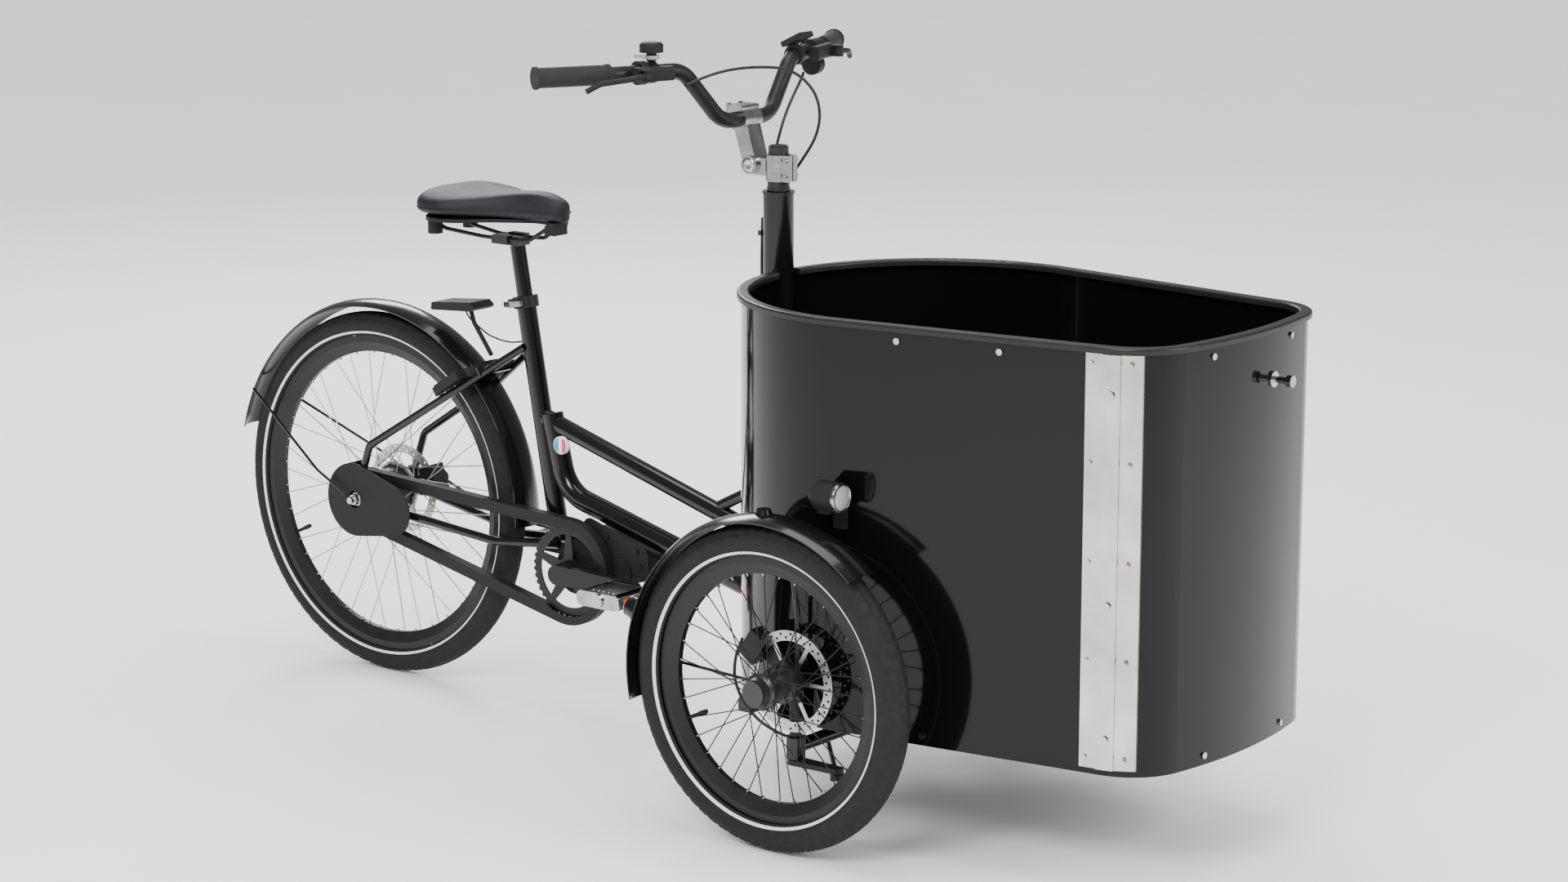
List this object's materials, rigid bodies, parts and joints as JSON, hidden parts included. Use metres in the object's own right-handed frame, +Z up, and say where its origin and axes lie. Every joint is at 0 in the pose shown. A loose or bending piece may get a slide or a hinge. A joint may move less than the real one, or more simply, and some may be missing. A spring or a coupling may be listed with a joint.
{
  "type": "cargo bicycle",
  "caption": "Three-wheeled cargo bicycle: rounded cargo box between two steered front wheels, swept bar, saddle, enclosed chain drive and mid motor.",
  "frame": {"origin": "on the floor under the centre of the overall bounding box", "axes": "+X points to the front of the tricycle, +Y to the rider's left, +Z up; the wheels stand on z = 0"},
  "size_m": [2.162, 0.86, 1.1983],
  "materials": {
    "frame_paint": "gloss",
    "dark_metal": "satin",
    "panel_sheet": "gloss",
    "rim_metal": "satin",
    "stainless": "satin",
    "guard_gloss": "gloss",
    "matte_black": "matte",
    "chain_steel": "satin",
    "tyre_rubber": "matte",
    "black_alloy": "satin",
    "black_spoke": "satin",
    "silver_alloy": "polished",
    "saddle_vinyl": "matte",
    "grip_rubber": "matte",
    "cable_black": "matte"
  },
  "bodies": {
    "frame": {"seat_tube": "frame_paint", "steering_column": "frame_paint", "main_tubes": "frame_paint", "rear_stays": "frame_paint", "underframe": "frame_paint", "drive_unit": "dark_metal", "box_panel": "panel_sheet", "box_rim": "rim_metal", "box_floor": "rim_metal", "box_fittings": "stainless", "rear_mudguard": "guard_gloss", "rear_axle": "dark_metal", "chain": "chain_steel", "chain_case": "matte_black", "seat_collar": "dark_metal", "ring_lock": "matte_black", "rear_caliper": "matte_black", "headlamps": "matte_black", "rear_light": "matte_black", "frame_cables": "cable_black"},
    "steering": {"steerer": "chain_steel", "stem": "silver_alloy", "handlebar": "black_alloy", "grips": "grip_rubber", "bar_controls": "matte_black", "bell": "matte_black", "bar_cables": "cable_black"},
    "right_brake_lever": {"right_brake_lever": "matte_black"},
    "left_brake_lever": {"left_brake_lever": "matte_black"},
    "shift_lever": {"shift_lever": "matte_black"},
    "bell_lever": {"bell_lever": "matte_black"},
    "right_upright": {"right_upright": "dark_metal", "right_mudguard": "guard_gloss"},
    "left_upright": {"left_upright": "dark_metal", "left_mudguard": "guard_gloss"},
    "right_wheel": {"right_tyre": "tyre_rubber", "right_rim": "black_alloy", "right_spokes": "black_spoke", "right_hub": "black_alloy"},
    "left_wheel": {"left_tyre": "tyre_rubber", "left_rim": "black_alloy", "left_spokes": "black_spoke", "left_hub": "black_alloy"},
    "right_tie_rod": {"right_tie_rod": "dark_metal"},
    "left_tie_rod": {"left_tie_rod": "dark_metal"},
    "rear_wheel": {"rear_tyre": "tyre_rubber", "rear_rim": "black_alloy", "rear_spokes": "stainless", "rear_hub": "black_alloy"},
    "rear_sprocket": {"rear_sprocket": "chain_steel"},
    "crank": {"chainring": "chain_steel", "crank_arms": "dark_metal"},
    "right_pedal": {"right_pedal": "silver_alloy"},
    "left_pedal": {"left_pedal": "silver_alloy"},
    "seat": {"seat_post": "frame_paint", "saddle_rails": "dark_metal", "saddle_shell": "matte_black", "saddle_cover": "saddle_vinyl"},
    "collar_lever": {"collar_lever": "silver_alloy"},
    "lock_shackle": {"lock_shackle": "chain_steel"}
  },
  "joints": [
    {"name": "steering_turn", "type": "hinge", "parent": "frame", "child": "steering", "pos_m": [0.15358, 0, 0.966], "axis": [0, 0, 1], "range_deg": [-16, 16], "deforming": ["bar_cables", "frame_cables"]},
    {"name": "right_kingpin", "type": "hinge", "parent": "frame", "child": "right_upright", "pos_m": [0.44058, -0.323, 0.18], "axis": [0, 0, 1], "range_deg": [-16, 16]},
    {"name": "left_kingpin", "type": "hinge", "parent": "frame", "child": "left_upright", "pos_m": [0.44058, 0.323, 0.18], "axis": [0, 0, 1], "range_deg": [-16, 16]},
    {"name": "right_rod_pivot", "type": "hinge", "parent": "steering", "child": "right_tie_rod", "pos_m": [0.23358, 0, 0.116], "axis": [0, 0, 1], "range_deg": [-16, 16]},
    {"name": "left_rod_pivot", "type": "hinge", "parent": "steering", "child": "left_tie_rod", "pos_m": [0.23358, 0, 0.1045], "axis": [0, 0, 1], "range_deg": [-16, 16]},
    {"name": "right_wheel_spin", "type": "hinge", "parent": "right_upright", "child": "right_wheel", "pos_m": [0.44058, -0.384, 0.256], "axis": [0, 1, 0], "continuous": true},
    {"name": "left_wheel_spin", "type": "hinge", "parent": "left_upright", "child": "left_wheel", "pos_m": [0.44058, 0.384, 0.256], "axis": [0, 1, 0], "continuous": true},
    {"name": "rear_wheel_spin", "type": "hinge", "parent": "frame", "child": "rear_wheel", "pos_m": [-0.74142, 0, 0.3275], "axis": [0, 1, 0], "continuous": true},
    {"name": "rear_sprocket_spin", "type": "hinge", "parent": "frame", "child": "rear_sprocket", "pos_m": [-0.74142, -0.05, 0.3275], "axis": [0, 1, 0], "continuous": true},
    {"name": "crank_spin", "type": "hinge", "parent": "frame", "child": "crank", "pos_m": [-0.26142, 0, 0.2645], "axis": [0, 1, 0], "continuous": true},
    {"name": "right_pedal_spin", "type": "hinge", "parent": "crank", "child": "right_pedal", "pos_m": [-0.09142, -0.13, 0.2645], "axis": [0, 1, 0], "continuous": true},
    {"name": "left_pedal_spin", "type": "hinge", "parent": "crank", "child": "left_pedal", "pos_m": [-0.43142, 0.13, 0.2645], "axis": [0, 1, 0], "continuous": true},
    {"name": "seat_slide", "type": "slide", "parent": "frame", "child": "seat", "axis": [-0.176, 0, 0.9844], "range_m": [-0.06, 0.06]},
    {"name": "collar_lever_turn", "type": "hinge", "parent": "frame", "child": "collar_lever", "pos_m": [-0.427, -0.015, 0.69972], "axis": [-0.176, 0, 0.9844], "range_deg": [-100, 0]},
    {"name": "right_brake_pull", "type": "hinge", "parent": "steering", "child": "right_brake_lever", "pos_m": [0.08872, -0.2444, 1.15152], "axis": [0, 0, 1], "range_deg": [0, 14], "stiffness_Nm_per_rad": 0.5, "springref_deg": -5.73},
    {"name": "left_brake_pull", "type": "hinge", "parent": "steering", "child": "left_brake_lever", "pos_m": [0.08872, 0.2444, 1.15152], "axis": [0, 0, 1], "range_deg": [-14, 0], "stiffness_Nm_per_rad": 0.5, "springref_deg": 5.73},
    {"name": "shift_turn", "type": "hinge", "parent": "steering", "child": "shift_lever", "pos_m": [0.03564, 0.25365, 1.12588], "axis": [-0.2537, 0.9672, 0.0159], "range_deg": [-20, 20], "stiffness_Nm_per_rad": 0.2},
    {"name": "bell_flick", "type": "hinge", "parent": "steering", "child": "bell_lever", "pos_m": [0.05458, -0.1972, 1.15094], "axis": [0, 0, 1], "range_deg": [0, 25], "stiffness_Nm_per_rad": 0.05},
    {"name": "lock_close", "type": "hinge", "parent": "frame", "child": "lock_shackle", "pos_m": [-0.53682, 0, 0.55491], "axis": [0.5357, 0, -0.8444], "range_deg": [0, 140]}
  ],
  "couplings": [
    {"joint": "right_kingpin", "follows": "steering_turn", "ratio": 1},
    {"joint": "left_kingpin", "follows": "steering_turn", "ratio": 1},
    {"joint": "right_rod_pivot", "follows": "steering_turn", "ratio": -1},
    {"joint": "left_rod_pivot", "follows": "steering_turn", "ratio": -1},
    {"joint": "rear_sprocket_spin", "follows": "crank_spin", "ratio": 2}
  ]
}
